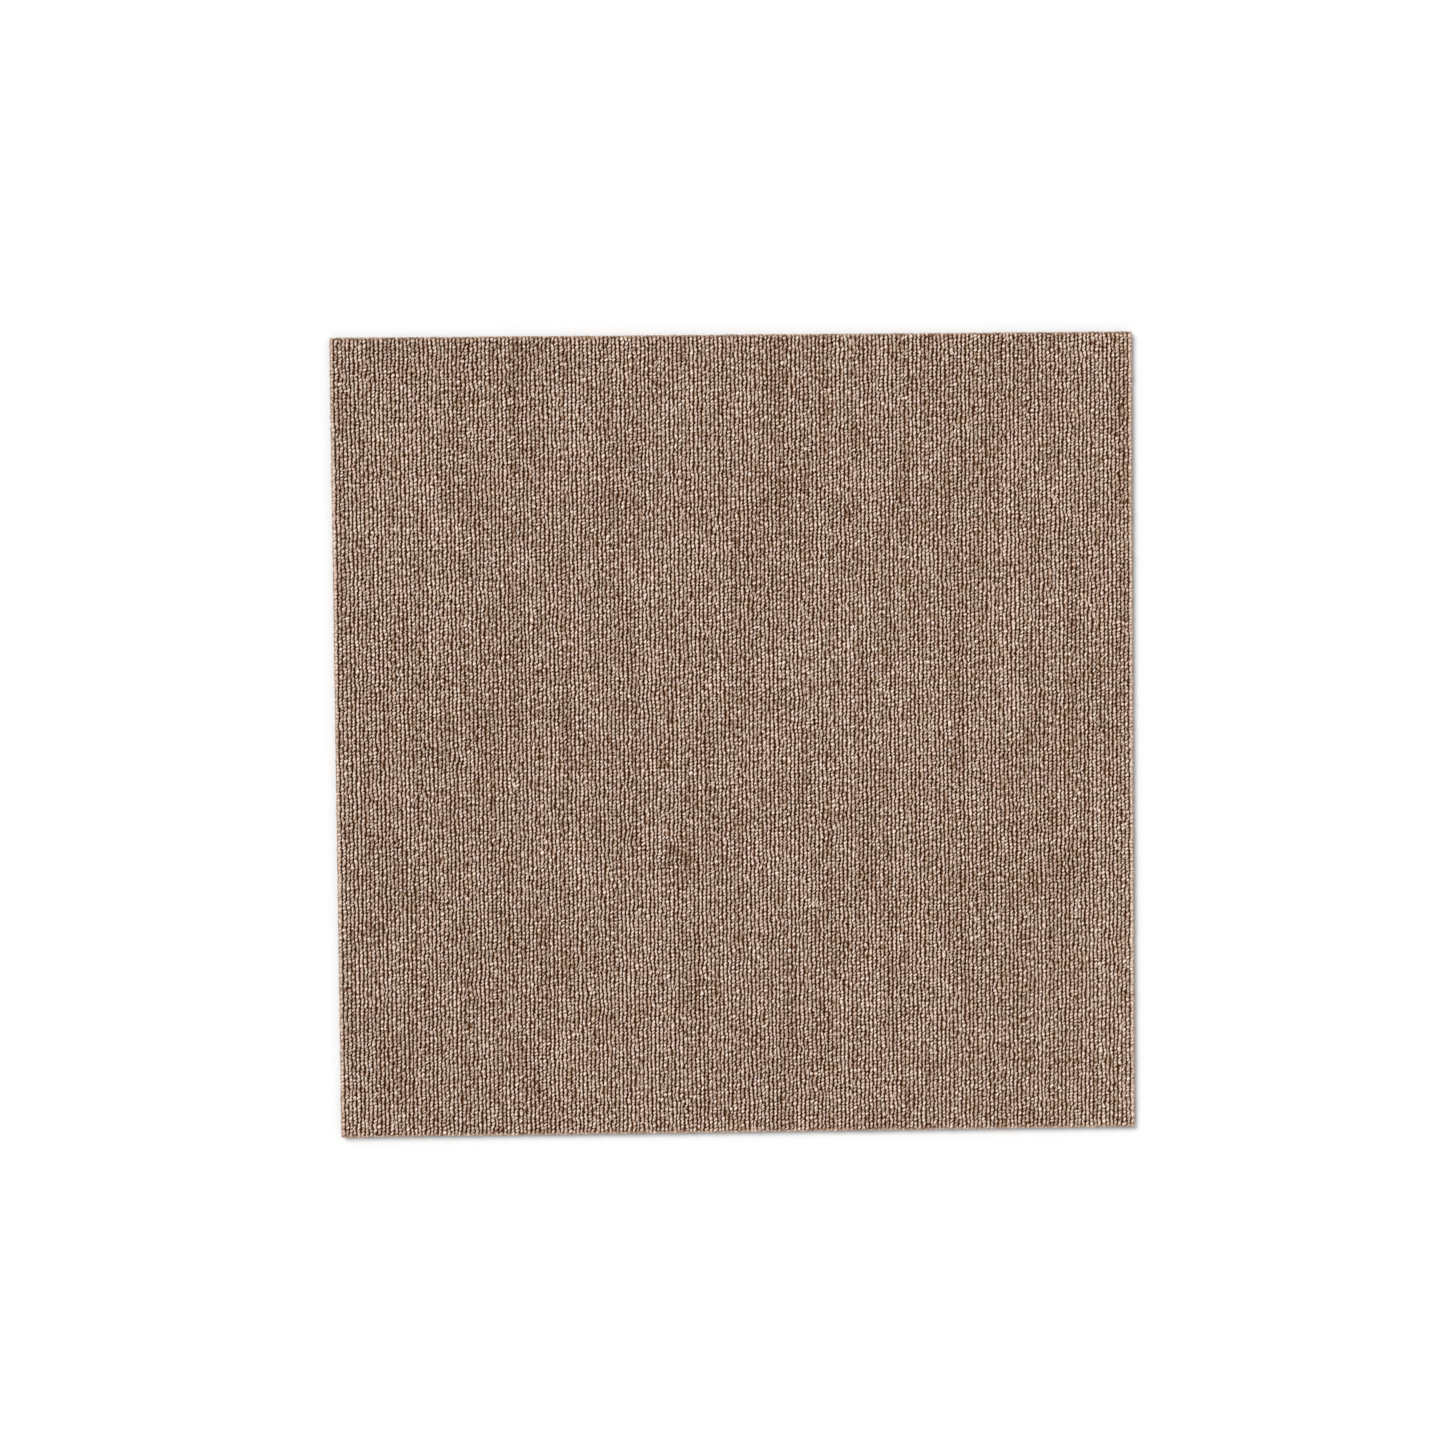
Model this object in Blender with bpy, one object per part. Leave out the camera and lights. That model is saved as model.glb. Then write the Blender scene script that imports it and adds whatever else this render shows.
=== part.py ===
"""A square loop-pile carpet tile, lying flat with its pile up.

Units are metres. X runs across the tufted rows, Y along them, Z up. The origin is the centre of the underside.
From below: a heavy backing slab, the primary backing cloth that the yarn is stitched through, and the pile,
whose loops stand in straight parallel rows.
"""

import math

import bmesh
import bpy
from mathutils import Vector

# The cut size of the tile, across and along the rows
TILE_WIDTH = 0.500
TILE_LENGTH = 0.500

# The layers, from the floor up
SLAB_THICKNESS = 0.0026
CLOTH_THICKNESS = 0.0004
PILE_HEIGHT = 0.0030

# The film of adhesive between two layers, left open so that they only just clear each other
BOND_LINE = 0.00005

# The tufted rows: tenth-gauge tufting sets a needle every 2.54 mm
ROW_PITCH = 0.00254
ROW_RELIEF = 0.0019
CROWN_STEPS = 5

# Colour and roughness of each layer
YARN_BROWN = (0.292, 0.195, 0.144, 1.0)
CLOTH_BEIGE = (0.42, 0.31, 0.23, 1.0)
SLAB_BLACK = (0.022, 0.021, 0.021, 1.0)
YARN_ROUGHNESS = 0.9
CLOTH_ROUGHNESS = 0.85
SLAB_ROUGHNESS = 0.8


def clear_scene():
    """Removes whatever the scene holds."""
    for obj in list(bpy.data.objects):
        bpy.data.objects.remove(obj, do_unlink=True)


def matt_material(name, colour, roughness):
    """A non-metallic material of one colour."""
    material = bpy.data.materials.new(name)
    material.use_nodes = True
    shader = material.node_tree.nodes["Principled BSDF"]
    shader.inputs["Base Color"].default_value = colour
    shader.inputs["Roughness"].default_value = roughness
    shader.inputs["Metallic"].default_value = 0.0
    material.diffuse_color = colour
    return material


def add_object(name, bm, material, bottom):
    """Turns a bmesh into a named object whose own Z zero lies at the height bottom."""
    bmesh.ops.recalc_face_normals(bm, faces=bm.faces[:])
    mesh = bpy.data.meshes.new(name)
    bm.to_mesh(mesh)
    bm.free()
    mesh.materials.append(material)
    obj = bpy.data.objects.new(name, mesh)
    obj.location.z = bottom
    bpy.context.scene.collection.objects.link(obj)
    return obj


def add_sheet(name, thickness, material, bottom):
    """A flat layer of the tile's full width and length, standing on the height bottom."""
    bm = bmesh.new()
    bmesh.ops.create_cube(bm, size=1.0)
    bmesh.ops.scale(bm, vec=Vector((TILE_WIDTH, TILE_LENGTH, thickness)), verts=bm.verts[:])
    bmesh.ops.translate(bm, vec=Vector((0.0, 0.0, thickness / 2)), verts=bm.verts[:])
    return add_object(name, bm, material, bottom)


def crown_points(left, right, root, crown):
    """One row's outline in the XZ plane, from its right groove over the crown to its left groove."""
    centre = (left + right) / 2
    half_width = (right - left) / 2
    points = []
    for step in range(CROWN_STEPS + 1):
        angle = math.pi * step / CROWN_STEPS
        x = centre + half_width * math.cos(angle)
        z = root + (crown - root) * math.sin(angle)
        points.append((x, z))
    return points


def add_pile(name, material, bottom):
    """The pile as one solid: a root layer with a rounded crown for each row, cut flush at the tile's edges."""
    row_count = max(1, round(TILE_WIDTH / ROW_PITCH))
    row_width = TILE_WIDTH / row_count
    root = PILE_HEIGHT - ROW_RELIEF
    # With an odd count of steps no point lies on top of the arc, so the arc is stretched until its highest
    # points reach the pile's height
    reach = max(math.sin(math.pi * step / CROWN_STEPS) for step in range(CROWN_STEPS + 1))
    crown = root + ROW_RELIEF / reach
    front = -TILE_LENGTH / 2

    bm = bmesh.new()
    floor_corners = []
    groove_points = []
    for boundary in range(row_count + 1):
        x = -TILE_WIDTH / 2 + boundary * row_width
        floor_corners.append(bm.verts.new((x, front, 0.0)))
        groove_points.append(bm.verts.new((x, front, root)))
    for row in range(row_count):
        left = floor_corners[row].co.x
        right = floor_corners[row + 1].co.x
        over_the_crown = [
            bm.verts.new((x, front, z)) for x, z in crown_points(left, right, root, crown)[1:-1]
        ]
        bm.faces.new(
            [
                floor_corners[row],
                floor_corners[row + 1],
                groove_points[row + 1],
                *over_the_crown,
                groove_points[row],
            ]
        )
    drawn_out = bmesh.ops.extrude_face_region(bm, geom=bm.faces[:])
    moved = [item for item in drawn_out["geom"] if isinstance(item, bmesh.types.BMVert)]
    bmesh.ops.translate(bm, vec=Vector((0.0, TILE_LENGTH, 0.0)), verts=moved)
    return add_object(name, bm, material, bottom)


def build_tile():
    """Stacks the layers from the floor up."""
    clear_scene()
    slab_top = SLAB_THICKNESS
    cloth_bottom = slab_top + BOND_LINE
    pile_bottom = cloth_bottom + CLOTH_THICKNESS + BOND_LINE
    slab = matt_material("backing_slab", SLAB_BLACK, SLAB_ROUGHNESS)
    cloth = matt_material("primary_backing", CLOTH_BEIGE, CLOTH_ROUGHNESS)
    yarn = matt_material("pile_yarn", YARN_BROWN, YARN_ROUGHNESS)
    add_sheet("backing_slab", SLAB_THICKNESS, slab, 0.0)
    add_sheet("primary_backing", CLOTH_THICKNESS, cloth, cloth_bottom)
    add_pile("loop_pile", yarn, pile_bottom)


build_tile()
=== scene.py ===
"""The looks of a square loop-pile carpet tile, seen from above on a pale floor.

Units are metres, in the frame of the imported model: X runs across the tufted rows, Y along them, Z up.
The pile is rebuilt loop by loop in place of its plain solid. The backing cloth and slab keep their solids and
get materials of their own.
"""

import math

import bpy
import numpy as np
from mathutils import Euler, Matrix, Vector

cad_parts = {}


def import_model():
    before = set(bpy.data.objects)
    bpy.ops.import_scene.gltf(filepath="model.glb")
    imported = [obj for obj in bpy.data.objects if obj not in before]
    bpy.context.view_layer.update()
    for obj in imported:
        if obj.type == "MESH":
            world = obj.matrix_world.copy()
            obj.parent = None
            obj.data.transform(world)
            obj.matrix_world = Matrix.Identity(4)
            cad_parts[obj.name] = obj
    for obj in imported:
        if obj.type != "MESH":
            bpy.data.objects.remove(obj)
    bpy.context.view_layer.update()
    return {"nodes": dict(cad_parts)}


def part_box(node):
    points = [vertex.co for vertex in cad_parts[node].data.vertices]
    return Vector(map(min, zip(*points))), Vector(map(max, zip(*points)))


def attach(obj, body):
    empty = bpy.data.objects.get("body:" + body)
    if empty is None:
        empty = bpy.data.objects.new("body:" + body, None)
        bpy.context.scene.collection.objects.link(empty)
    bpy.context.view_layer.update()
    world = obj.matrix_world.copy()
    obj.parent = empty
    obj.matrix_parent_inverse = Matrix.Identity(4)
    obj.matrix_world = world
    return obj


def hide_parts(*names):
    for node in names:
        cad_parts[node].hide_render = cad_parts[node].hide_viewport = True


MM = 0.001
SEED = 7

# The tufting: rows across the tile, and loops along each row, side by side with those of the next row.
# A loop has a cross-section at each quarter of its length. A groove has one point for each loop.
ROWS = 197
LOOPS = 236
QUARTERS = 4
SECTIONS = LOOPS * QUARTERS + 1
BANDS = 8

# How the rows stand between their grooves. A reach is a share of the way from a row's middle to its groove.
GROOVE_DEPTH = 1.72 * MM
CREST_REACH = 0.51
NECK_REACH = 0.24
NECK_DEPTH = 0.41 * MM
SWELL_POWER = 0.6
SLANT = 0.80 * MM

# Every sixth row stands out a little: its loops are paler, and the grooves beside it are wider
GROUP_ROWS = 6
GROUP_FIRST = 5
GROUP_NARROWING = 0.22
GROUP_TONE = 0.080

# How the grooves waver: each kind has its spread, the rows that go together and the length along them. The
# wander grows over the first few grooves in from the tile's sides.
LONE_ROW = 0.3
WAVERING_LINES = 4
WANDER_SPREAD = 0.14 * MM
WANDER_ROWS = 10
WANDER_LENGTH = 42 * MM
JITTER_SPREAD = 0.24 * MM
JITTER_LENGTH = 1.1 * MM
DRIFT_SPREAD = 0.08 * MM
DRIFT_ROWS = 1.5
DRIFT_LENGTH = 25 * MM
GROOVE_HEIGHT_SPREAD = 0.20 * MM

# Snags, where a few rows are pushed aside
SNAGS = 90
SNAG_STRENGTH = (0.4, 1.0)
SNAG_PUSH = 0.9 * MM
SNAG_ROWS = 1.6
SNAG_LENGTH = 3.2 * MM

# How unevenly the loops stand: in height, in width, sideways, in slant, in how marked their necks are, and in
# their places along the row
CREST_HEIGHT_SPREAD = 0.11 * MM
ROW_HEIGHT_SPREAD = 0.05 * MM
ROW_HEIGHT_LENGTH = 56 * MM
REACH_SPREAD = 0.16
SWAY_SPREAD = 0.24 * MM
SWAY_LENGTH = 0.9 * MM
SLANT_SPREAD = 0.45 * MM
SLANT_MOST = 0.65 * MM
NECK_SPREAD = 0.25
NECK_STRENGTH = (0.2, 2.2)
NECK_PINCH = (0.6, 1.3)
STEP_SPREAD = 0.05 * MM
STITCH_SPREAD = 0.42 * MM
STITCH_LENGTH = 1.5 * MM
STITCH_WANDER = 0.35 * MM
STITCH_WANDER_ROWS = 0.6

# The share of the sway, the slant, the necks' depth and the lean that the two rows at the tile's sides keep,
# and the share that the rows' ends lose
SIDE_CALM = 0.6
END_CALM = 0.5

# How the yarn's tone changes: from loop to loop, in a fleck here and there on each side of a row, partly
# random tone and partly painted glints of the yarn's sheen, in streaks along the rows and in clouds over a
# few of them. Loops even out over CRISP_LOOPS of them, and each fleck over FLECK_GLINT_EVEN.
TONE_SPREAD = 0.06
CRISP_LOOPS = 0.8
FLECK_GLINT_SPREAD = 0.32
FLECK_GLINT_LENGTH = 0.22 * MM
FLECK_GLINT_EVEN = 1.1 * MM
STREAK_SPREAD = 0.028
STREAK_ROWS = 0.4
STREAK_LENGTH = 30 * MM
CLOUD_SPREAD = 0.024
CLOUD_LENGTH = 5 * MM

# How much darker the loops are painted towards the grooves' depth, as painted shade, and how light a place
# can be at most, which leaves room for the brightest painted glints
DEPTH_PAINTED_SHADE = 1.1
LIGHT_MOST = 1.25

# The felted rim, where the knife has cut the yarn: its width, and how far the crests, the notches between the
# rows' ends and the two sides lie below the pile's top there. The drop of notches and sides is taken times a
# random share, and so is the rim at the notches.
RIM_WIDTH = 1.0 * MM
RIM_DROP = 0.35 * MM
NOTCH_DROP = 0.85 * MM
SIDE_DROP = 0.9 * MM
DROP_SHARE = (0.6, 1.4)
NOTCH_SHARE = (0.55, 1.0)

# How far the cut yarn stands out at most: each row's end, more for each of its shoulders, the grooves' ends
# and the two sides
ROW_OUTLINE = 0.35 * MM
SHOULDER_OUTLINE = 0.175 * MM
GROOVE_OUTLINE = 0.175 * MM
SIDE_OUTLINE = 0.21 * MM

# How light the rim and the sides are, as painted light: their grooves are painted with less shade than the
# inner ones; and how frayed they, the rows' ends and the two side rows are
RIM_PAINTED_LIGHT = 0.74
SIDE_PAINTED_LIGHT = (0.25, 0.75)
SIDE_FRAY = 0.6
END_FRAY = 0.8
SIDE_ROW_FRAY = 0.3

# The faces of one loop's length of a row. Each corner is a line, of 0 and 3 the grooves and 1 and 2 the
# shoulders, and a section: quads along the crown, and triangles down to the grooves' sparser points.
CROWN_LINES = ((1, 2, 2, 1),)
CROWN_STEPS = ((0, 0, 1, 1),)
LEFT_LINES = ((0, 1, 1), (0, 1, 1), (0, 1, 0), (0, 1, 1), (0, 1, 1))
LEFT_STEPS = ((0, 0, 1), (0, 1, 2), (0, 2, 4), (4, 2, 3), (4, 3, 4))
RIGHT_LINES = ((2, 3, 2), (2, 3, 2), (2, 3, 3), (2, 3, 2), (2, 3, 2))
RIGHT_STEPS = ((0, 0, 1), (1, 0, 2), (2, 0, 4), (2, 4, 3), (3, 4, 4))

# Where the lines of a row lie across its yarn, from groove to groove
YARN_ACROSS = (-1.0, -0.55, 0.55, 1.0)

# Where a band's faces lie in its map: the sheet of loops folded into parts side by side, and a shelf for
# each group of walls
UV_FOLDS = 4
UV_ACROSS = (0.0, 0.3, 0.7, 1.0)
UV_SHEET = 0.92
UV_SHELVES = 7
UV_MARGIN = 0.15

# How far the up direction that sets a tube's cross-sections is tilted, so that it is never in line with the
# tube
UP_TILT = 0.3

# The legs of cut loops along the edges, from the cloth up to the rim. The last two rows of numbers go from
# foot to top, one for each ring of a leg. LEG_LIGHT is each leg's random tone, and LEG_PAINTED_SHADE is
# painted shade, darker towards the foot under the rim.
LEG_PITCH = 1.2 * MM
LEG_STANCE = 0.54 * MM
LEG_RADIUS = 0.55 * MM
LEG_RADIUS_SHARE = (0.85, 1.12)
LEG_INSET = 0.12 * MM
LEG_BULGE = 0.16 * MM
LEG_TOP = (0.50 * MM, 1.05 * MM)
LEG_LEAN = 0.16 * MM
LEG_LIGHT = (0.55, 1.0)
LEG_FRAY = 0.35
LEG_SIDES = 5
LEG_SWELL = (0.88, 1.0, 0.98, 0.72)
LEG_PAINTED_SHADE = (0.42, 0.66, 0.88, 1.08)

# Tufts of loose yarn at the cut edges: where they are rooted, and their filaments' size
FRAY_TUFTS = 200
FRAY_FILAMENTS = 3
FRAY_MARGIN = 1.0 * MM
FRAY_ROOT_SPREAD = 0.16 * MM
FRAY_INSET = (0.0 * MM, 0.7 * MM)
FRAY_DEPTH = (0.15 * MM, 0.5 * MM, 1.6 * MM)
FRAY_LENGTH = (0.7 * MM, 2.0 * MM)
FRAY_RADIUS = 0.12 * MM
FRAY_RADIUS_SHARE = (0.6, 1.3)
FRAY_TIP = 0.35
FRAY_SIDES = 3
FRAY_RINGS = 4

# How the filaments splay, in shares of their length. Aside and rise have a spread for the tufts and one for
# the filaments in them, and sag has a mean and a spread. None stands over the pile by more than FRAY_TOP.
FRAY_OUT = 0.62
FRAY_ASIDE_SPREADS = (0.5, 0.4)
FRAY_RISE = 0.1
FRAY_RISE_SPREADS = (0.3, 0.25)
FRAY_CURL = 0.6
FRAY_SAG = (-0.25, 0.3)
FRAY_TOP = 0.2 * MM

# Loose filaments lying over the rows, headed mostly to the back and right. The heading has a mean and a
# spread.
STRAYS = 220
STRAY_MARGIN = 8 * MM
STRAY_LENGTH = (2.5 * MM, 8.0 * MM)
STRAY_HEADING_DEG = (38, 32)
STRAY_BOW = 0.14
STRAY_RISE = 0.50 * MM
STRAY_SUNK = 0.25 * MM
STRAY_RADIUS = 0.24 * MM
STRAY_RADIUS_SHARE = (0.7, 1.2)
STRAY_BLUNTNESS = 0.06
STRAY_FULLNESS = 0.4
STRAY_SIDES = 4
STRAY_RINGS = 7

# The yarn's colours from darkest to palest, picked by its tone times its painted shade, so that the darkest
# stand mostly for painted shade in the grooves and the palest partly for painted glints; and the colour of
# cut yarn
YARN_STOPS = (
    (0.00, (0.032, 0.006, 0.000)),
    (0.20, (0.082, 0.026, 0.005)),
    (0.40, (0.204, 0.111, 0.060)),
    (0.60, (0.428, 0.290, 0.205)),
    (0.80, (0.725, 0.550, 0.445)),
    (1.00, (0.935, 0.785, 0.690)),
)
CUT_COLOUR = (0.500, 0.360, 0.275, 1.0)
CUT_SHARE = 0.45

# The yarn's tone, and how much the grain of each loop, its fibres and the tile's patches change it
YARN_TONE = 0.895
GRAIN_SHARE = 0.50
FIBRE_SHARE = 0.40
PATCH_SHARE = 0.03
YARN_ROW_OFFSET = 7.31

# How fine the yarn's grain and twist are, across the yarn and along it, and its fibres
GRAIN_SCALE = (1.1, 1.4)
TWIST_SCALE = (2.2, 2.6)
FIBRE_SCALE = 2.0

# Faint greener and pinker patches
HUE_SCALE = 85.0
HUE_SPREAD = 0.105

# The darker and the paler colour of loose yarn, and those of the cloth, whose darker colour goes to the
# weave's low places as painted shade, with a random tone
TUFT_COLOURS = ((0.40, 0.28, 0.20), (0.74, 0.56, 0.44))
STRAY_COLOURS = ((0.62, 0.48, 0.39), (0.88, 0.73, 0.63))
CLOTH_COLOURS = ((0.22, 0.15, 0.105), (0.50, 0.385, 0.30))
WEAVE_REPEAT = 1.1 * MM

# The slab's colours, and its fleece: fibres that lie in two directions, and show where their noise is high
SLAB_STOPS = (
    (0.18, (0.008, 0.0076, 0.0072)),
    (0.40, (0.024, 0.023, 0.022)),
    (0.68, (0.070, 0.066, 0.062)),
)
FLEECE_SCALE = 520.0
FLEECE_TURN = 1.1
FLEECE_FROM = 0.62
FLEECE_SHARPNESS = 8.0

# The camera, found from the places of the tile's four corners in the photograph
LENS_MM = 85.0
SENSOR_MM = 36.0
CAMERA_PLACE = Vector((-0.0630, 0.1139, 2.1328))
CAMERA_TURN_DEG = (-2.783, -1.464, -0.552)

# The light and the floor
SUN_STRENGTH = 2.3
SUN_ANGLE_DEG = 30.0
SUN_TILT_DEG = 34.0
SUN_FROM_DEG = 135.0
SKY_STRENGTH = 0.50
FLOOR_SIZE = 40
FLOOR_DROP = 0.02 * MM
FLOOR_COLOUR = (0.93, 0.93, 0.93, 1.0)


def between(ends, share):
    """The value at a share of the way from one end to the other."""
    return ends[0] + (ends[1] - ends[0]) * share


def smoothed(values, row_reach, step_reach):
    """Values blurred over row_reach rows and step_reach steps."""
    rows, steps = values.shape
    across = np.fft.fftfreq(rows)[:, None] * row_reach
    along = np.fft.rfftfreq(steps)[None, :] * step_reach
    blur = np.exp(-2 * math.pi**2 * (across**2 + along**2))
    return np.fft.irfft2(np.fft.rfft2(values) * blur, s=(rows, steps))


def spread_noise(rng, rows, steps, row_reach, step_reach):
    """Random numbers with a spread of 1, smooth over row_reach rows and step_reach steps."""
    smooth = smoothed(rng.standard_normal((rows, steps)), row_reach, step_reach)
    return smooth / smooth.std()


def crisp_noise(rng, rows, steps, fine, coarse):
    """Random numbers with a spread of 1, smooth over fine steps of a row and even over coarse ones."""
    rough = rng.standard_normal((rows, steps))
    rough = smoothed(rough, 0, fine) - smoothed(rough, 0, coarse)
    return rough / rough.std()


def snags(rng, rows, steps, step_reach):
    """How far each place is pushed sideways by the snags: at most about 1, in the middle of each."""
    pushes = np.zeros((rows, steps))
    middle = rng.integers(0, rows, SNAGS), rng.integers(0, steps, SNAGS)
    pushes[middle] = rng.choice((-1.0, 1.0), SNAGS) * rng.uniform(*SNAG_STRENGTH, SNAGS)
    return smoothed(pushes, SNAG_ROWS, step_reach) * 2 * math.pi * SNAG_ROWS * step_reach


def between_posts(values):
    """Values at each groove's points, filled in for all sections."""
    share = np.arange(QUARTERS) / QUARTERS
    rise = np.diff(values, axis=1)[..., None] * share
    filled = values[:, :-1, None] + rise
    return np.concatenate([filled.reshape(len(values), -1), values[:, -1:]], axis=1)


def eased(values):
    """Values along each row, each blended with the two beside it."""
    padded = np.pad(values, ((0, 0), (1, 1)), mode="edge")
    return (padded[:, :-2] + 2 * padded[:, 1:-1] + padded[:, 2:]) / 4


def rim_share(distance):
    """1 at a cut edge, falling to 0 at the rim's width."""
    share = np.clip(1 - distance / RIM_WIDTH, 0, 1)
    return share * share * (3 - 2 * share)


class Pile:
    """The surface of the whole pile: a groove between each two rows, and two shoulders along each row."""

    def __init__(self, low, high, rng):
        self.low, self.high, self.rng = low, high, rng
        section = np.arange(SECTIONS)
        self.step = (high.y - low.y) / (SECTIONS - 1)
        self.pitch = (high.x - low.x) / ROWS
        self.y = low.y + self.step * section
        self.end_rim = rim_share(np.minimum(self.y - low.y, high.y - self.y))
        # Loops run from neck to neck, and the tile's edges cut through the middle of a loop
        self.along = section / QUARTERS + 0.5
        row = np.arange(ROWS)
        self.side_rows = (np.minimum(row, ROWS - 1 - row) == 0)[:, None]
        self.group = np.cos(2 * math.pi * (row - GROUP_FIRST) / GROUP_ROWS)[:, None]
        self.lay_grooves()
        self.lay_loops()
        self.shade_loops()
        self.cut_edges()

    def for_each_loop(self, spread):
        """A value for each loop of each row, laid out over the sections."""
        loop = np.floor(self.along).astype(int)
        return (crisp_noise(self.rng, ROWS, LOOPS + 1, 0, CRISP_LOOPS) * spread)[:, loop]

    def along_rows(self, rows, length):
        """Random numbers with a spread of 1 for all sections, smooth over these rows and this length."""
        return spread_noise(self.rng, ROWS, SECTIONS, rows, length / self.step)

    def lay_grooves(self):
        """Sets the grooves' points, painted shade and fray: the inner grooves are painted darkest, the rim
        and the tile's sides lighter.
        """
        rng, top = self.rng, self.high.z
        line = np.arange(ROWS + 1)[:, None]
        lines_in = np.minimum(line, ROWS - line)
        outer = lines_in == 0
        post = self.step * QUARTERS
        grid = (ROWS + 1, LOOPS + 1)
        wander = spread_noise(rng, *grid, WANDER_ROWS, WANDER_LENGTH / post) * WANDER_SPREAD
        wander += snags(rng, *grid, SNAG_LENGTH / post) * SNAG_PUSH
        jitter = spread_noise(rng, *grid, LONE_ROW, JITTER_LENGTH / post) * JITTER_SPREAD
        jitter += spread_noise(rng, *grid, DRIFT_ROWS, DRIFT_LENGTH / post) * DRIFT_SPREAD
        uneven = rng.random(grid)
        rim = np.maximum(self.end_rim[::QUARTERS] * between(NOTCH_SHARE, uneven), outer)
        groove_top = top - GROOVE_DEPTH + rng.standard_normal(grid) * GROOVE_HEIGHT_SPREAD
        rim_top = top - np.where(outer, SIDE_DROP, NOTCH_DROP) * between(DROP_SHARE, uneven)
        self.groove = np.empty((*grid, 3))
        self.groove[..., 0] = self.low.x + self.pitch * line
        self.groove[..., 0] += np.clip(lines_in / WAVERING_LINES, 0, 1) * wander
        self.groove[..., 0] += np.clip(lines_in, 0, 1) * jitter
        self.groove[..., 1] = self.y[::QUARTERS]
        self.groove[..., 2] = groove_top + (rim_top - groove_top) * rim
        # Painted shade: no light in the inner grooves, and lighter painted light at the rim and on the side
        # rows' outer flanks
        self.groove_painted_shade = np.where(outer, between(SIDE_PAINTED_LIGHT, uneven), RIM_PAINTED_LIGHT * rim)
        self.groove_fray = np.where(outer, SIDE_FRAY, rim)

    def lay_loops(self):
        """Sets the shoulders' points: full in the middle of each loop, narrow and low at its necks."""
        rng = self.rng
        groove_x = between_posts(self.groove[..., 0])
        middle, half = (groove_x[:-1] + groove_x[1:]) / 2, (groove_x[1:] - groove_x[:-1]) / 2
        swell = np.sin(math.pi * (self.along % 1)) ** SWELL_POWER
        calm = np.where(self.side_rows, SIDE_CALM, 1.0) * (1 - END_CALM * self.end_rim)
        strength = np.clip(1 + self.for_each_loop(NECK_SPREAD), *NECK_STRENGTH)
        neck = (1 - swell) * np.clip(strength, *NECK_PINCH)
        reach = CREST_REACH * (1 + self.for_each_loop(REACH_SPREAD)) * (1 - neck) + NECK_REACH * neck
        reach *= 1 - GROUP_NARROWING * self.group
        sway = self.along_rows(LONE_ROW, SWAY_LENGTH) * SWAY_SPREAD * calm
        slant = eased(SLANT + np.clip(self.for_each_loop(SLANT_SPREAD), -SLANT_MOST, SLANT_MOST)) * calm
        drop = NECK_DEPTH * strength * (1 - swell) * calm
        drop += np.abs(self.for_each_loop(CREST_HEIGHT_SPREAD)) + RIM_DROP * self.end_rim
        drop += np.abs(self.along_rows(LONE_ROW, ROW_HEIGHT_LENGTH)) * ROW_HEIGHT_SPREAD
        lean = rng.standard_normal((ROWS, SECTIONS)) * STEP_SPREAD
        lean += self.along_rows(LONE_ROW, STITCH_LENGTH) * STITCH_SPREAD * calm
        lean += self.along_rows(STITCH_WANDER_ROWS, WANDER_LENGTH) * STITCH_WANDER * calm
        self.shoulder = np.empty((ROWS, 2, SECTIONS, 3))
        for side, sign in enumerate((-1, 1)):
            wobble = np.abs(rng.standard_normal((ROWS, SECTIONS))) * CREST_HEIGHT_SPREAD / 2
            self.shoulder[:, side, :, 0] = middle + sway + sign * half * reach
            self.shoulder[:, side, :, 1] = self.y + lean + sign * slant / 2
            self.shoulder[:, side, :, 2] = self.high.z - drop - wobble

    def shade_loops(self):
        """Sets the shoulders' light and their fray: painted shade, darker the deeper they lie, times the
        yarn's random tone and each fleck's painted glint.
        """
        flecks = crisp_noise(self.rng, ROWS * 2, SECTIONS, FLECK_GLINT_LENGTH / self.step, FLECK_GLINT_EVEN / self.step)
        streaks = self.along_rows(STREAK_ROWS, STREAK_LENGTH) * STREAK_SPREAD
        clouds = self.along_rows(CLOUD_LENGTH / self.pitch, CLOUD_LENGTH) * CLOUD_SPREAD
        rows = self.for_each_loop(TONE_SPREAD) + streaks + clouds + GROUP_TONE * self.group
        tones = 1 + rows[:, None] + FLECK_GLINT_SPREAD * flecks.reshape(ROWS, 2, SECTIONS)
        fall = (self.high.z - self.shoulder[..., 2]) / GROOVE_DEPTH
        # Painted shade: the deeper a shoulder lies, the darker it is painted
        self.shoulder_tone_and_painted_shade = np.clip((1 - DEPTH_PAINTED_SHADE * fall) * tones, 0, LIGHT_MOST)
        fray = np.maximum(self.end_rim * END_FRAY, self.side_rows[..., None] * SIDE_ROW_FRAY)
        self.shoulder_fray = np.broadcast_to(fray, self.shoulder_tone_and_painted_shade.shape)

    def cut_edges(self):
        """Cuts the rows' ends and the tile's sides a little unevenly, but leaves the corners in place."""
        rng = self.rng
        ends_y = (self.low.y, self.high.y)
        for end, outward, edge in ((0, -1, ends_y[0]), (-1, 1, ends_y[1])):
            self.groove[:, end, 1] = edge + outward * rng.random(ROWS + 1) * GROOVE_OUTLINE
            ragged = rng.random((ROWS, 1)) * ROW_OUTLINE + rng.random((ROWS, 2)) * SHOULDER_OUTLINE
            self.shoulder[:, :, end, 1] = edge + outward * ragged
        for side, outward in ((0, -1), (-1, 1)):
            self.groove[side, [0, -1], 1] = ends_y
            self.groove[side, 1:-1, 0] += outward * rng.random(LOOPS - 1) * SIDE_OUTLINE


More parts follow.
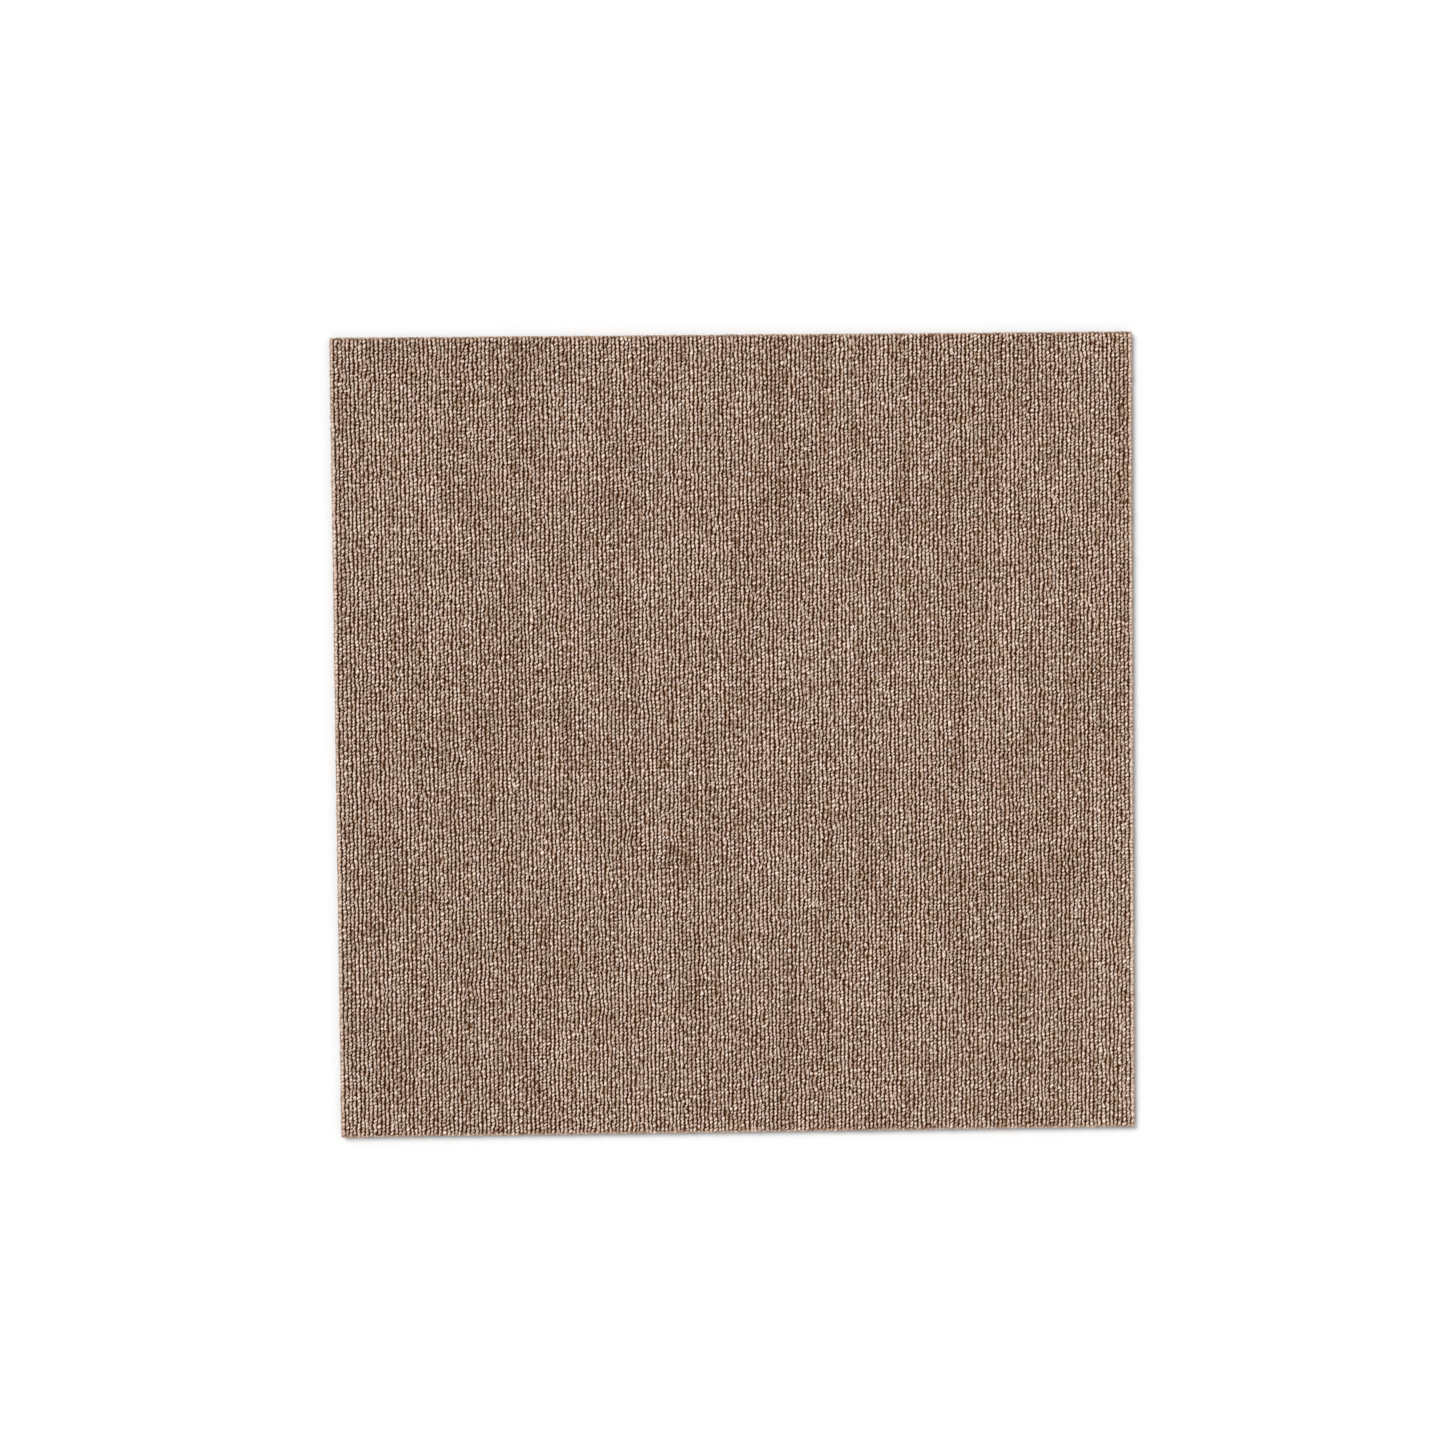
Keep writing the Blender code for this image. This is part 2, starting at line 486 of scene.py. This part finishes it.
def row_faces():
    """The faces of a row's crown and of its sides, each as the lines and the sections of their corners."""
    faces = []
    for lines, steps, stride in (
        (CROWN_LINES, CROWN_STEPS, 1),
        (LEFT_LINES + RIGHT_LINES, LEFT_STEPS + RIGHT_STEPS, QUARTERS),
    ):
        section = np.arange(0, SECTIONS - 1, stride)[:, None, None] + np.array(steps)
        line = np.broadcast_to(lines, section.shape)
        corners = section.shape[-1]
        faces.append((line.reshape(-1, corners), section.reshape(-1, corners)))
    return faces


def strips(left, right):
    """Quads between two lines of vertex numbers, facing up when right lies to the right of left."""
    return np.stack([left[:-1], right[:-1], right[1:], left[1:]], axis=-1).reshape(-1, 4)


def wall_uv(group, shelf):
    """Places for a group of walls: its faces side by side on one shelf of the map."""
    count, corners = group.shape
    turn = 2 * math.pi * (np.arange(corners) + 0.5) / corners
    reach = 0.5 - UV_MARGIN
    face = np.stack([0.5 + reach * np.cos(turn), 0.5 + reach * np.sin(turn)], axis=1)
    u = (np.arange(count)[:, None] + face[None, :, 0]) / count
    height = (1 - UV_SHEET) / UV_SHELVES
    v = UV_SHEET + (shelf + np.broadcast_to(face[:, 1], u.shape)) * height
    return np.stack([u, v], axis=-1).reshape(-1, 2)


def make_mesh(name, points, groups):
    """A mesh from points and a list of face groups, each an array with one row for a face."""
    mesh = bpy.data.meshes.new(name)
    sizes = np.concatenate([np.full(len(group), group.shape[1]) for group in groups])
    corners = np.concatenate([group.ravel() for group in groups])
    mesh.vertices.add(len(points))
    mesh.vertices.foreach_set("co", np.asarray(points, np.float32).ravel())
    mesh.loops.add(len(corners))
    mesh.loops.foreach_set("vertex_index", corners.astype(np.int32))
    mesh.polygons.add(len(sizes))
    mesh.polygons.foreach_set("loop_start", (np.cumsum(sizes) - sizes).astype(np.int32))
    mesh.update(calc_edges=True)
    mesh.shade_smooth()
    return mesh


def add_layer(mesh, name, kind, domain, values):
    """A named attribute of the mesh."""
    layer = mesh.attributes.new(name, kind, domain)
    word = "vector" if kind in ("FLOAT_VECTOR", "FLOAT2") else "value"
    number = bool if kind == "BOOLEAN" else np.float32
    layer.data.foreach_set(word, np.ascontiguousarray(values, number).ravel())


def add_piece(name, mesh, material):
    """An object for the mesh, wearing the material and riding on the tile."""
    mesh.materials.append(material)
    piece = bpy.data.objects.new(name, mesh)
    bpy.context.scene.collection.objects.link(piece)
    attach(piece, "root")
    return piece


class Band:
    """The rows from first up to last as one closed solid: loops on top, plain walls and a flat bottom."""

    def __init__(self, pile, first, last):
        self.pile, self.first, self.last = pile, first, last
        self.rows = last - first
        self.groove = pile.groove[first : last + 1]
        self.shoulder = pile.shoulder[first:last]
        posts = self.groove.shape[1]
        self.groove_at = np.arange((self.rows + 1) * posts).reshape(self.rows + 1, posts)
        self.shoulder_at = np.arange(self.rows * 2 * SECTIONS).reshape(self.rows, 2, SECTIONS)
        self.shoulder_at += self.groove_at.size
        self.feet_from = self.groove_at.size + self.shoulder_at.size

    def points(self):
        """The surface's points, and the foot of each wall, straight below its top."""
        groove = self.groove
        points = [groove.reshape(-1, 3), self.shoulder.reshape(-1, 3)]
        for top in (groove[0], groove[-1], groove[1:-1, 0], groove[1:-1, -1]):
            foot = top.copy()
            foot[:, 2] = self.pile.low.z
            points.append(foot)
        return np.concatenate(points)

    def surface(self):
        """The loops' faces in groups, with each corner's place on the yarn and in the map."""
        number = np.empty((self.rows, 4, SECTIONS), int)
        number[:, 0] = np.repeat(self.groove_at[:-1], QUARTERS, axis=1)[:, :SECTIONS]
        number[:, 1:3] = self.shoulder_at
        number[:, 3] = np.repeat(self.groove_at[1:], QUARTERS, axis=1)[:, :SECTIONS]
        own_row = np.arange(self.rows)[:, None, None]
        groups, yarns, maps = [], [], []
        for line, section in row_faces():
            groups.append(number[:, line, section].reshape(-1, line.shape[1]))
            yarn = np.empty((self.rows, *line.shape, 3))
            yarn[..., 0] = np.take(YARN_ACROSS, line)
            yarn[..., 1] = self.pile.along[section]
            yarn[..., 2] = self.first + own_row
            yarns.append(yarn.reshape(-1, 3))
            part = section.min(axis=1, keepdims=True) * UV_FOLDS // (SECTIONS - 1)
            uv = np.empty((self.rows, *line.shape, 2))
            uv[..., 0] = (part + (own_row + np.take(UV_ACROSS, line)) / self.rows) / UV_FOLDS
            uv[..., 1] = (section * UV_FOLDS / (SECTIONS - 1) - part) * UV_SHEET
            maps.append(uv.reshape(-1, 2))
        return groups, yarns, maps

    def walls(self):
        """The faces of the walls and of the bottom, in groups."""
        groove, shoulder = self.groove_at, self.shoulder_at
        posts = groove.shape[1]
        left = self.feet_from + np.arange(posts)
        right = left + posts
        inner = right[-1] + 1 + np.arange(self.rows - 1)
        front = np.concatenate([left[:1], inner, right[:1]])
        back = np.concatenate([left[-1:], inner + self.rows - 1, right[-1:]])
        front_tops = (groove[1:, 0], shoulder[:, 1, 0], shoulder[:, 0, 0], groove[:-1, 0])
        back_tops = (groove[:-1, -1], shoulder[:, 0, -1], shoulder[:, 1, -1], groove[1:, -1])
        return [
            strips(left, groove[0]),
            strips(groove[-1], right),
            strips(right[1:-1], left[1:-1]),
            np.stack([front[:-1], front[1:], *front_tops], axis=1),
            np.stack([back[1:], back[:-1], *back_tops], axis=1),
            np.concatenate([front[::-1], left[1:2], right[1:2]])[None, :],
            np.concatenate([back, right[-2:-1], left[-2:-1]])[None, :],
        ]

    def point_values(self, of_groove, of_shoulder):
        """The pile's values for the band's points, 0 at the walls' feet."""
        feet = 2 * self.groove.shape[1] + 2 * (self.rows - 1)
        groove = of_groove[self.first : self.last + 1]
        shoulder = of_shoulder[self.first : self.last]
        return np.concatenate([groove.ravel(), shoulder.ravel(), np.zeros(feet)])


def add_band(name, pile, first, last, material):
    """One band of rows, with its yarn, its map, its light and fray, and its creases. The light is the yarn's
    tone times painted shade, and 0 at the walls' feet, so the walls are painted darker towards the bottom.
    """
    band = Band(pile, first, last)
    surface, yarns, maps = band.surface()
    walls = band.walls()
    mesh = make_mesh(name, band.points(), surface + walls)

    wall_yarn = np.zeros((sum(group.size for group in walls), 3))
    wall_yarn[:, 2] = first
    maps += [wall_uv(group, shelf) for shelf, group in enumerate(walls)]
    add_layer(mesh, "yarn", "FLOAT_VECTOR", "CORNER", np.concatenate([*yarns, wall_yarn]))
    add_layer(mesh, "OFBake", "FLOAT2", "CORNER", np.concatenate(maps))
    # Painted shade: the light is 0 in the inner grooves and at the walls' feet
    add_layer(mesh, "light", "FLOAT", "POINT", band.point_values(pile.groove_painted_shade, pile.shoulder_tone_and_painted_shade))
    add_layer(mesh, "fray", "FLOAT", "POINT", band.point_values(pile.groove_fray, pile.shoulder_fray))

    # Each groove is a crease, and so is each edge of the walls
    ends = np.empty(len(mesh.edges) * 2, np.int32)
    mesh.edges.foreach_get("vertices", ends)
    crease = np.zeros(len(mesh.vertices), bool)
    crease[band.groove_at] = True
    crease[band.shoulder_at[:, :, [0, -1]]] = True
    crease[band.feet_from :] = True
    add_layer(mesh, "sharp_edge", "BOOLEAN", "EDGE", crease[ends.reshape(-1, 2)].all(1))
    piece = add_piece(name, mesh, material)
    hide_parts("loop_pile")


def add_tube_yarn(mesh, turn, light):
    """Places on the yarn, light and fray for tubes that wear the pile's yarn, with light for each ring: a
    random tone and painted shade.
    """
    count, rings = light.shape
    yarn = np.empty((count, rings, len(turn), 3))
    yarn[..., 0] = np.cos(turn)
    yarn[..., 1] = np.linspace(0, 1, rings)[:, None]
    yarn[..., 2] = np.arange(count)[:, None, None]
    light = np.broadcast_to(light[:, :, None], yarn.shape[:3])
    tip_yarn, tip_light = yarn[:, [0, -1], 0], light[:, [0, -1], 0]
    add_layer(mesh, "yarn", "FLOAT_VECTOR", "POINT", np.concatenate([yarn.ravel(), tip_yarn.ravel()]))
    add_layer(mesh, "light", "FLOAT", "POINT", np.concatenate([light.ravel(), tip_light.ravel()]))
    add_layer(mesh, "fray", "FLOAT", "POINT", np.full(light.size + tip_light.size, LEG_FRAY))


def add_tubes(name, paths, radii, sides, material, light=None):
    """Thin tubes along the paths, with a point at both ends. With light, they wear the pile's yarn."""
    count, rings = radii.shape
    tangent = np.gradient(paths, axis=1)
    tangent /= np.linalg.norm(tangent, axis=2, keepdims=True)
    up = np.array((0.0, 0.0, 1.0)) + UP_TILT * np.roll(tangent, 1, axis=2)
    across = np.cross(tangent, up)
    across /= np.linalg.norm(across, axis=2, keepdims=True)
    other = np.cross(across, tangent)
    turn = 2 * math.pi * np.arange(sides) / sides
    ring = across[:, :, None] * np.cos(turn)[:, None] + other[:, :, None] * np.sin(turn)[:, None]
    points = paths[:, :, None] + ring * radii[:, :, None, None]
    first_tip = paths[:, 0] - tangent[:, 0] * radii[:, :1]
    last_tip = paths[:, -1] + tangent[:, -1] * radii[:, -1:]
    tips = np.stack([first_tip, last_tip], axis=1)

    at = np.arange(count * rings * sides).reshape(count, rings, sides)
    after = np.roll(at, -1, axis=2)
    tip = at.size + np.arange(count * 2).reshape(count, 2, 1)
    first = np.broadcast_to(tip[:, 0], at[:, 0].shape)
    last = np.broadcast_to(tip[:, 1], at[:, -1].shape)
    body = np.stack([at[:, :-1], at[:, 1:], after[:, 1:], after[:, :-1]], axis=-1).reshape(-1, 4)
    start = np.stack([first, at[:, 0], after[:, 0]], axis=-1).reshape(-1, 3)
    finish = np.stack([last, after[:, -1], at[:, -1]], axis=-1).reshape(-1, 3)
    everything = np.concatenate([points.reshape(-1, 3), tips.reshape(-1, 3)])
    mesh = make_mesh(name, everything, [body, start, finish])
    if light is not None:
        add_tube_yarn(mesh, turn, light)
    add_piece(name, mesh, material)


class Edge:
    """One cut edge of the tile: the one that faces sign along axis."""

    def __init__(self, low, high, axis, sign):
        self.axis, self.other = axis, 1 - axis
        self.sign = sign
        self.place = high[axis] if sign > 0 else low[axis]
        self.start, self.end = low[self.other], high[self.other]
        self.bottom, self.top = low.z, high.z

    def points(self, out, along, height):
        """Points at these distances outside the edge, places along it and heights."""
        shape = np.broadcast_shapes(np.shape(out), np.shape(along), np.shape(height))
        points = np.empty((*shape, 3))
        points[..., self.axis] = self.place + self.sign * out
        points[..., self.other] = along
        points[..., 2] = height
        return points


def add_legs(name, rng, edge, material):
    """The legs of cut loops along an edge: two for each row at its ends, and a line of them along a side."""
    if edge.axis == 1:
        middle = edge.start + (np.arange(ROWS) + 0.5) * (edge.end - edge.start) / ROWS
        along = (middle[:, None] + np.array((-LEG_STANCE, LEG_STANCE))).ravel()
    else:
        along = np.arange(edge.start + LEG_PITCH / 2, edge.end - LEG_PITCH / 2, LEG_PITCH)
    count = len(along)
    along = along + rng.normal(0, LEG_LEAN / 2, count)
    share = np.linspace(0, 1, len(LEG_SWELL))
    top = edge.top - rng.uniform(*LEG_TOP, count)[:, None]
    lean = rng.normal(0, LEG_LEAN, (count, 1)) * share
    out = -LEG_INSET + rng.uniform(0.0, LEG_BULGE, (count, 1)) * np.sin(math.pi * share)
    paths = edge.points(out, along[:, None] + lean, edge.bottom + (top - edge.bottom) * share)
    radii = LEG_RADIUS * rng.uniform(*LEG_RADIUS_SHARE, (count, 1)) * np.array(LEG_SWELL)
    # Painted shade: each leg's random tone, darker towards its foot
    light = rng.uniform(*LEG_LIGHT, (count, 1)) * np.array(LEG_PAINTED_SHADE)
    add_tubes(name, paths, radii, LEG_SIDES, material, light)


def add_fray(name, rng, edge, material):
    """Tufts of loose yarn along an edge, each a few filaments splayed from one root."""
    count = FRAY_TUFTS * FRAY_FILAMENTS

    def for_each_tuft(values):
        """One value for each tuft, repeated for its filaments."""
        return np.repeat(values, FRAY_FILAMENTS)[:, None]

    def splay(mean, spreads):
        """A slope for each filament, round that of its tuft."""
        own_tuft = for_each_tuft(rng.normal(mean, spreads[0], FRAY_TUFTS))
        return own_tuft + rng.normal(0, spreads[1], (count, 1))

    along = for_each_tuft(rng.uniform(edge.start + FRAY_MARGIN, edge.end - FRAY_MARGIN, FRAY_TUFTS))
    along = along + rng.normal(0, FRAY_ROOT_SPREAD, (count, 1))
    inset = for_each_tuft(rng.uniform(*FRAY_INSET, FRAY_TUFTS))
    depth = for_each_tuft(rng.triangular(*FRAY_DEPTH, FRAY_TUFTS))
    length = rng.uniform(*FRAY_LENGTH, (count, 1))
    share = np.linspace(0, 1, FRAY_RINGS)
    aside = splay(0, FRAY_ASIDE_SPREADS)
    rise = splay(FRAY_RISE, FRAY_RISE_SPREADS)
    curl = rng.normal(0, FRAY_CURL, (count, 1)) * share**2
    sag = rng.normal(*FRAY_SAG, (count, 1)) * share**2
    out = -inset + length * FRAY_OUT * share
    height = np.minimum(edge.top - depth + length * (rise * share + sag), edge.top + FRAY_TOP)
    paths = edge.points(out, along + length * (aside * share + curl), height)
    taper = np.linspace(1, FRAY_TIP, FRAY_RINGS)
    radii = FRAY_RADIUS * rng.uniform(*FRAY_RADIUS_SHARE, (count, 1)) * taper
    add_tubes(name, paths, radii, FRAY_SIDES, material)


def add_strays(name, rng, low, high, material):
    """Loose filaments that lie over the crests of a few rows."""
    share = np.linspace(0, 1, STRAY_RINGS)
    length = rng.uniform(*STRAY_LENGTH, STRAYS)
    heading = rng.normal(*np.radians(STRAY_HEADING_DEG), STRAYS)
    aim = np.stack([np.cos(heading), np.sin(heading)], axis=1)
    sideways = np.stack([-aim[:, 1], aim[:, 0]], axis=1)
    spans = [(low[i] + STRAY_MARGIN, high[i] - STRAY_MARGIN) for i in (0, 1)]
    middle = np.stack([rng.uniform(*span, STRAYS) for span in spans], axis=1)
    bow = rng.normal(0, STRAY_BOW, STRAYS) * length
    paths = np.empty((STRAYS, STRAY_RINGS, 3))
    paths[..., :2] = middle[:, None]
    paths[..., :2] += (aim * length[:, None])[:, None] * (share - 0.5)[:, None]
    paths[..., :2] += (sideways * bow[:, None])[:, None] * (4 * share * (1 - share))[:, None]
    paths[..., 2] = high.z + STRAY_RISE * np.sin(math.pi * share) - STRAY_SUNK
    blunt = STRAY_BLUNTNESS + (1 - 2 * STRAY_BLUNTNESS) * share
    swell = np.sin(math.pi * blunt) ** STRAY_FULLNESS
    radii = STRAY_RADIUS * rng.uniform(*STRAY_RADIUS_SHARE, (STRAYS, 1)) * swell
    add_tubes(name, paths, radii, STRAY_SIDES, material)


class Nodes:
    """A new material's node tree, with a short call for each node."""

    def __init__(self, name):
        self.material = bpy.data.materials.new(name)
        self.material.use_nodes = True
        self.tree = self.material.node_tree
        self.shader = self.tree.nodes["Principled BSDF"]

    def add(self, kind, inputs=(), **settings):
        """A node with its properties set, and each named input given a number, a colour or a link."""
        node = self.tree.nodes.new(kind)
        for name, value in settings.items():
            setattr(node, name, value)
        for name, value in dict(inputs).items():
            self.put(node.inputs[name], value)
        return node

    def put(self, socket, value):
        """Links an output to the socket, or sets the socket to a value."""
        if isinstance(value, bpy.types.NodeSocket):
            self.tree.links.new(value, socket)
        else:
            socket.default_value = value

    def shade(self, colour, roughness, specular=None):
        """Sets the shader's colour, roughness and specular level, each to a value or a link."""
        self.put(self.shader.inputs["Base Color"], colour)
        self.put(self.shader.inputs["Roughness"], roughness)
        if specular is not None:
            self.put(self.shader.inputs["Specular IOR Level"], specular)

    def bump(self, height, strength, distance):
        """Raises and lowers the surface by a height."""
        node = self.add("ShaderNodeBump", {"Height": height, "Strength": strength, "Distance": distance})
        self.put(self.shader.inputs["Normal"], node.outputs[0])

    def maths(self, operation, *values, clamp=False):
        """The result of a maths node."""
        inputs = dict(enumerate(values))
        return self.add("ShaderNodeMath", inputs, operation=operation, use_clamp=clamp).outputs[0]

    def times(self, value, factor, plus=0.0):
        """A value times a factor, plus another."""
        return self.maths("MULTIPLY_ADD", value, factor, plus)

    def varied(self, value, noise, share):
        """A value raised by a share of a noise where that is over one half, and lowered where it is under."""
        return self.times(self.maths("SUBTRACT", noise, 0.5), share, value)

    def vector(self, x, y, z):
        """Three numbers as one vector."""
        return self.add("ShaderNodeCombineXYZ", {0: x, 1: y, 2: z}).outputs[0]

    def parts(self, vector):
        """The three numbers of a vector."""
        return self.add("ShaderNodeSeparateXYZ", {0: vector}).outputs

    def place(self):
        """Where each point lies on the tile."""
        return self.add("ShaderNodeTexCoord").outputs["Object"]

    def stretched(self, vector, scale, turn=0.0):
        """A vector turned round Z and then scaled."""
        inputs = {"Vector": vector, "Rotation": (0.0, 0.0, turn), "Scale": scale}
        return self.add("ShaderNodeMapping", inputs).outputs[0]

    def noise(self, vector, scale=1.0, detail=2.0, roughness=0.5, output="Fac"):
        """Smooth noise, around one half."""
        inputs = {"Vector": vector, "Scale": scale, "Detail": detail, "Roughness": roughness}
        return self.add("ShaderNodeTexNoise", inputs).outputs[output]

    def ramp(self, value, stops):
        """A colour from a value, by stops of (place, colour)."""
        node = self.add("ShaderNodeValToRGB", {"Fac": value})
        elements = node.color_ramp.elements
        while len(elements) < len(stops):
            elements.new(0.5)
        for element, (place, colour) in zip(elements, stops):
            element.position = place
            element.color = (*colour, 1.0)
        return node.outputs["Color"]

    def mix(self, share, first, second, blend="MIX"):
        """Two colours mixed by a share."""
        node = self.add("ShaderNodeMix", data_type="RGBA", blend_type=blend)
        for place, value in ((0, share), (6, first), (7, second)):
            self.put(node.inputs[place], value)
        return node.outputs[2]

    def attribute(self, name, output="Fac"):
        """A named attribute of the mesh."""
        return self.add("ShaderNodeAttribute", attribute_name=name).outputs[output]


def yarn_material():
    """Heathered yarn: its tone changes from row to row, from loop to loop and along its filaments, and the
    mesh's light paints shade into its colour.
    """
    n = Nodes("loop_yarn")
    across, along, row = n.parts(n.attribute("yarn", "Vector"))
    light, fray = n.attribute("light"), n.attribute("fray")
    offset = n.maths("MULTIPLY", row, YARN_ROW_OFFSET)
    loop = [n.maths("MULTIPLY", part, scale) for part, scale in zip((across, along), GRAIN_SCALE)]
    grain = n.noise(n.vector(*loop, offset), scale=1.0, detail=0.5)
    twist = [n.maths("MULTIPLY", part, scale) for part, scale in zip((across, along), TWIST_SCALE)]
    turned = n.maths("MULTIPLY", n.maths("ADD", *twist), FIBRE_SCALE)
    twisted = n.vector(turned, n.maths("MULTIPLY", along, FIBRE_SCALE), offset)
    fibre = n.noise(twisted, scale=2.2, detail=4.0, roughness=0.65)
    place = n.place()
    patch = n.noise(place, scale=30.0, detail=3.0)
    tone = YARN_TONE
    for part, share in ((grain, GRAIN_SHARE), (fibre, FIBRE_SHARE), (patch, PATCH_SHARE)):
        tone = n.varied(tone, part, share)
    # Painted shade: the light, darkest in the grooves, times the yarn's tone picks the colour, with painted
    # glints at the top
    colour = n.ramp(n.maths("MULTIPLY", tone, light), YARN_STOPS)
    hues = n.noise(place, scale=HUE_SCALE, detail=1.0, output="Color")
    spread = {0: hues, 1: (HUE_SPREAD,) * 3, 2: (1 - HUE_SPREAD / 2,) * 3}
    tint = n.add("ShaderNodeVectorMath", spread, operation="MULTIPLY_ADD").outputs[0]
    colour = n.mix(1.0, colour, tint, "MULTIPLY")
    colour = n.mix(n.maths("MULTIPLY", fray, CUT_SHARE), colour, CUT_COLOUR)
    n.shade(colour, roughness=n.times(fibre, 0.2, plus=0.72), specular=0.06)
    n.bump(fibre, strength=0.5, distance=0.25 * MM)
    return n.material


def loose_yarn_material(name, colours):
    """Single yarn ends and filaments, between a darker and a paler colour."""
    n = Nodes(name)
    place = n.place()
    tone = n.noise(place, scale=900.0, detail=2.0, roughness=0.6)
    fine = n.noise(place, scale=9000.0, detail=2.0)
    colour = n.ramp(tone, ((0.3, colours[0]), (0.7, colours[1])))
    n.shade(colour, roughness=n.times(fine, 0.2, plus=0.7), specular=0.25)
    n.bump(fine, strength=0.4, distance=0.04 * MM)
    return n.material


def cloth_material():
    """The primary backing: a plain weave of flat tapes, painted darker where they dip, as painted shade."""
    n = Nodes("woven_backing")
    place = n.place()
    x, y = n.parts(place)[:2]
    turns = 2 * math.pi / WEAVE_REPEAT
    warp = n.maths("SINE", n.maths("MULTIPLY", x, turns))
    weft = n.maths("SINE", n.maths("MULTIPLY", y, turns))
    height = n.times(n.maths("MULTIPLY", warp, weft), 0.5, plus=0.5)
    worn = n.noise(place, scale=400.0, detail=4.0, roughness=0.65)
    tone = n.varied(height, worn, 0.8)
    # Painted shade: the colour follows the weave's height, darker where the tapes dip, with a random tone on
    # top
    colour = n.ramp(tone, ((0.0, CLOTH_COLOURS[0]), (1.0, CLOTH_COLOURS[1])))
    n.shade(colour, roughness=n.times(worn, 0.3, plus=0.6))
    n.bump(height, strength=0.6, distance=0.12 * MM)
    return n.material


def slab_material():
    """The slab: near-black filled compound, with short pale fibres pressed in and the knife's streaks."""
    n = Nodes("slab_compound")
    place = n.place()
    grain = n.noise(place, scale=2600.0, detail=3.0, roughness=0.6)
    cloud = n.noise(place, scale=45.0, detail=3.0)
    one_way = n.stretched(place, (1.0, 5.0, 1.0))
    other_way = n.stretched(place, (5.0, 1.0, 1.0), FLEECE_TURN)
    lying = [n.noise(way, scale=FLEECE_SCALE, detail=2.0, roughness=0.7) for way in (one_way, other_way)]
    fleece = n.maths("SUBTRACT", n.maths("MAXIMUM", *lying), FLEECE_FROM)
    fibre = n.maths("MULTIPLY", fleece, FLEECE_SHARPNESS, clamp=True)
    streak = n.noise(n.stretched(place, (1.0, 1.0, 0.1)), scale=1700.0, detail=3.0)
    tone = n.times(fibre, 0.30, plus=n.maths("MULTIPLY", n.maths("ADD", grain, cloud), 0.35))
    tone = n.varied(tone, streak, 0.5)
    n.shade(n.ramp(tone, SLAB_STOPS), roughness=n.times(grain, 0.35, plus=0.55))
    height = n.maths("ADD", n.times(fibre, 0.5, plus=grain), streak)
    n.bump(height, strength=0.6, distance=0.10 * MM)
    return n.material


def floor_material():
    """Matt and pale all over."""
    n = Nodes("pale_floor")
    n.shade(FLOOR_COLOUR, roughness=0.9, specular=0.0)
    return n.material


def dress_node(frame, name, material):
    """Puts a material on a solid that stays."""
    slots = frame["nodes"][name].data.materials
    slots.clear()
    slots.append(material)


def add_floor():
    """A plain pale floor."""
    mesh = bpy.data.meshes.new("floor")
    half = FLOOR_SIZE / 2
    corners = [(-half, -half, 0), (half, -half, 0), (half, half, 0), (-half, half, 0)]
    mesh.from_pydata(corners, [], [(0, 1, 2, 3)])
    mesh.materials.append(floor_material())
    floor = bpy.data.objects.new("floor", mesh)
    floor.location.z = -FLOOR_DROP
    bpy.context.scene.collection.objects.link(floor)


def add_light():
    """Soft daylight: a wide sun from the upper left and an even pale sky."""
    sun = bpy.data.lights.new("sun", "SUN")
    sun.energy = SUN_STRENGTH
    sun.angle = math.radians(SUN_ANGLE_DEG)
    lamp = bpy.data.objects.new("sun", sun)
    tilt, turn = math.radians(SUN_TILT_DEG), math.radians(SUN_FROM_DEG)
    towards = Vector((math.cos(turn) * math.sin(tilt), math.sin(turn) * math.sin(tilt), math.cos(tilt)))
    lamp.rotation_mode = "QUATERNION"
    lamp.rotation_quaternion = towards.to_track_quat("Z", "Y")
    bpy.context.scene.collection.objects.link(lamp)
    world = bpy.data.worlds.new("sky")
    world.use_nodes = True
    sky = world.node_tree.nodes["Background"]
    sky.inputs["Color"].default_value = (1.0, 1.0, 1.0, 1.0)
    sky.inputs["Strength"].default_value = SKY_STRENGTH
    bpy.context.scene.world = world


def add_camera():
    """The camera, almost straight above the tile."""
    data = bpy.data.cameras.new("camera")
    data.lens = LENS_MM
    data.sensor_width = SENSOR_MM
    camera = bpy.data.objects.new("camera", data)
    camera.location = CAMERA_PLACE
    camera.rotation_euler = Euler([math.radians(turn) for turn in CAMERA_TURN_DEG])
    bpy.context.scene.collection.objects.link(camera)
    bpy.context.scene.camera = camera


def build():
    """Loads the frame, dresses it, and sets the scene round it."""
    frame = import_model()
    rng = np.random.default_rng(SEED)
    low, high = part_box("loop_pile")

    yarn = yarn_material()
    pile = Pile(low, high, rng)
    borders = np.linspace(0, ROWS, BANDS + 1).round().astype(int)
    for number, (first, last) in enumerate(zip(borders[:-1], borders[1:]), start=1):
        add_band(f"loop_rows_{number:02d}", pile, first, last, yarn)

    frayed = loose_yarn_material("frayed_yarn", TUFT_COLOURS)
    for side, axis, sign in (("front", 1, -1), ("back", 1, 1), ("left", 0, -1), ("right", 0, 1)):
        edge = Edge(low, high, axis, sign)
        add_legs(f"cut_loops_{side}", rng, edge, yarn)
        add_fray(f"cut_yarn_{side}", rng, edge, frayed)
    stray = loose_yarn_material("stray_filament", STRAY_COLOURS)
    add_strays("stray_filaments", rng, low, high, stray)

    dress_node(frame, "primary_backing", cloth_material())
    dress_node(frame, "backing_slab", slab_material())
    add_floor()
    add_light()
    add_camera()
    bpy.context.scene.view_settings.view_transform = "Standard"


build()
